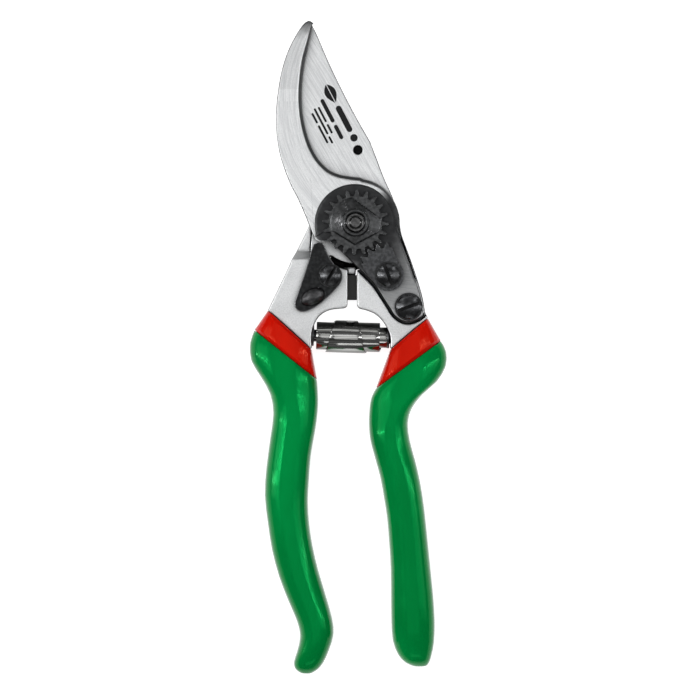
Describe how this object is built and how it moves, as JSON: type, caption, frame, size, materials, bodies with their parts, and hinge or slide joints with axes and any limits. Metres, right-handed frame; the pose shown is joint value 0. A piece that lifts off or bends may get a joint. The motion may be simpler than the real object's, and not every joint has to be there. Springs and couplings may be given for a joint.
{
  "type": "bypass pruner",
  "caption": "Closed bypass pruner with forged aluminium handles, padded grips, toothed pivot nut, thumb catch and volute spring.",
  "frame": {"origin": "on the pivot axis, where it meets the surface that the pruner lies on (the back face of the pivot bolt's head)", "axes": "+Z along the pivot axis towards the toothed nut, +Y towards the tip of the blades, +X towards the handle that carries the counter blade"},
  "size_m": [0.0652, 0.2155, 0.0176],
  "materials": {
    "satin_aluminium": "satin, forged",
    "green_grip": "glossy dipped",
    "red_collar": "glossy moulded",
    "ground_steel": "ground lengthwise",
    "black_steel": "black oxide, soft gloss",
    "spring_steel": "polished",
    "black_rubber": "matt"
  },
  "bodies": {
    "left_half": {"left_handle": "satin_aluminium", "left_grip": "green_grip", "left_collar": "red_collar", "cutting_blade": "ground_steel", "blade_rivets": "ground_steel", "catch_screw": "black_steel", "catch_washer": "ground_steel", "left_spring_stud": "black_steel", "cushion": "black_rubber", "return_spring": "spring_steel"},
    "right_half": {"right_handle": "satin_aluminium", "right_grip": "green_grip", "right_collar": "red_collar", "counter_blade": "ground_steel", "toothed_segment": "black_steel", "segment_screw": "black_steel", "tang_screw": "black_steel", "toothed_nut": "black_steel", "pivot_bolt": "black_steel", "right_spring_stud": "black_steel"},
    "catch": {"thumb_catch": "black_steel"}
  },
  "joints": [
    {"name": "blade_pivot", "type": "hinge", "parent": "left_half", "child": "right_half", "pos_m": [0, 0, 0.0085], "axis": [0, 0, 1], "range_deg": [0, 30], "deforming": ["return_spring"]},
    {"name": "catch_pivot", "type": "hinge", "parent": "left_half", "child": "catch", "pos_m": [-0.0083, -0.0175, 0.0146], "axis": [0, 0, 1], "range_deg": [0, 25]}
  ]
}
